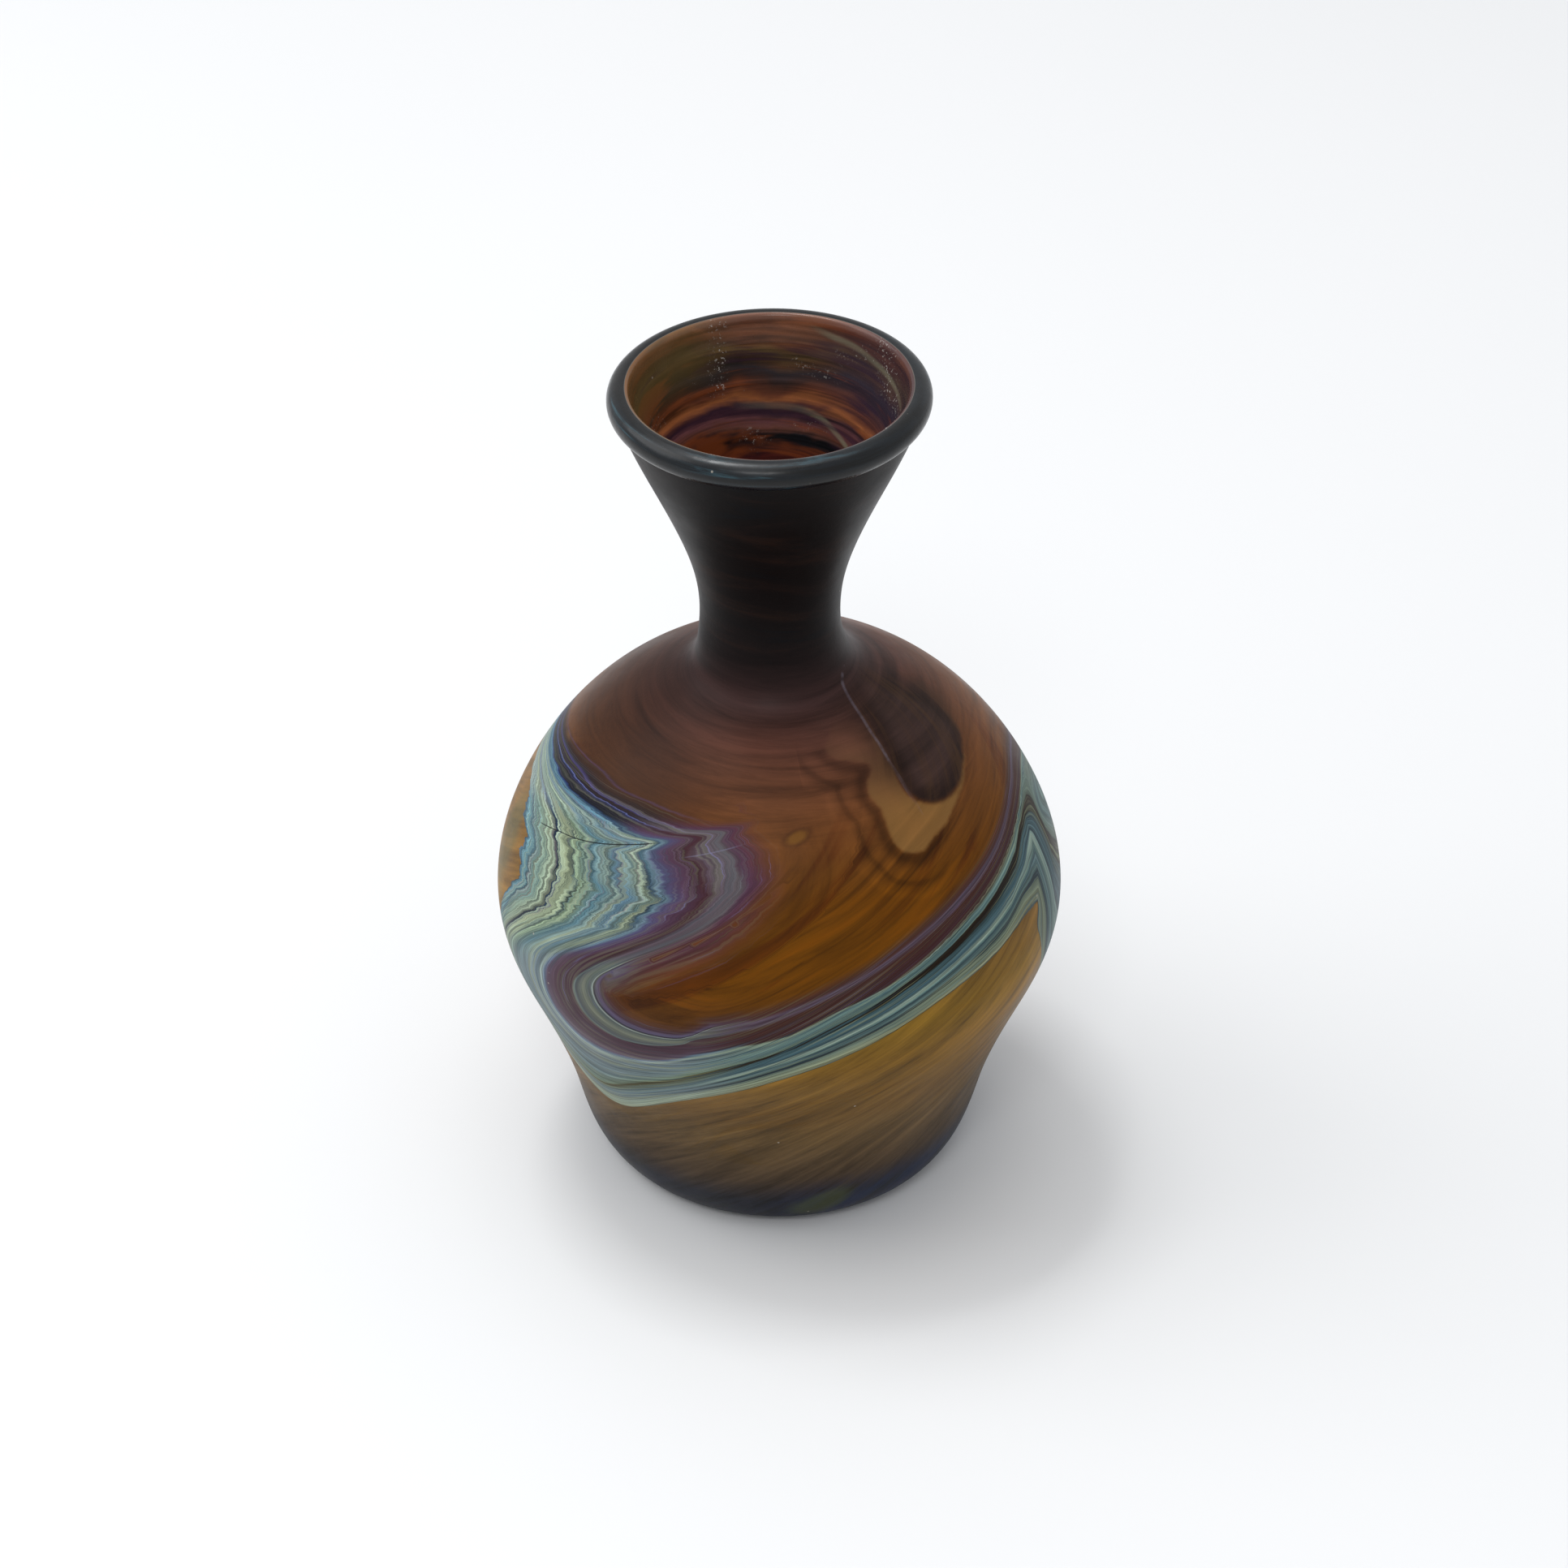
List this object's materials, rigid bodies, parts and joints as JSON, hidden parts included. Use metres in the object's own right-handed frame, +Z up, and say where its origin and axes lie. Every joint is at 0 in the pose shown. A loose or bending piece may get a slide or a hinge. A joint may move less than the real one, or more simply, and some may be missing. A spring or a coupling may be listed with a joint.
{
  "type": "blown glass bud vase",
  "caption": "Hand-blown bud vase: round belly with a waisted foot, narrow neck, flared mouth with a rolled bead, and a combed band of trails marvered into amber glass.",
  "frame": {"origin": "centre of the resting ring, on the plane that the vase stands on", "axes": "+Z up along the vase's axis, -Y towards the front, +X to the right of someone facing the front"},
  "size_m": [0.0898, 0.0898, 0.14],
  "materials": {
    "amber_glass": "frosted",
    "lip_glass": "glossy, fire polished",
    "cream_glass": "frosted",
    "teal_glass": "frosted",
    "blue_glass": "frosted",
    "purple_glass": "frosted",
    "scar_glass": "rough, broken"
  },
  "bodies": {
    "root": {"vessel": "amber_glass", "lip_wrap": "lip_glass", "cream_trail": "cream_glass", "teal_trail": "teal_glass", "blue_trail": "blue_glass", "purple_trail": "purple_glass", "pontil_scar": "scar_glass"}
  },
  "joints": []
}
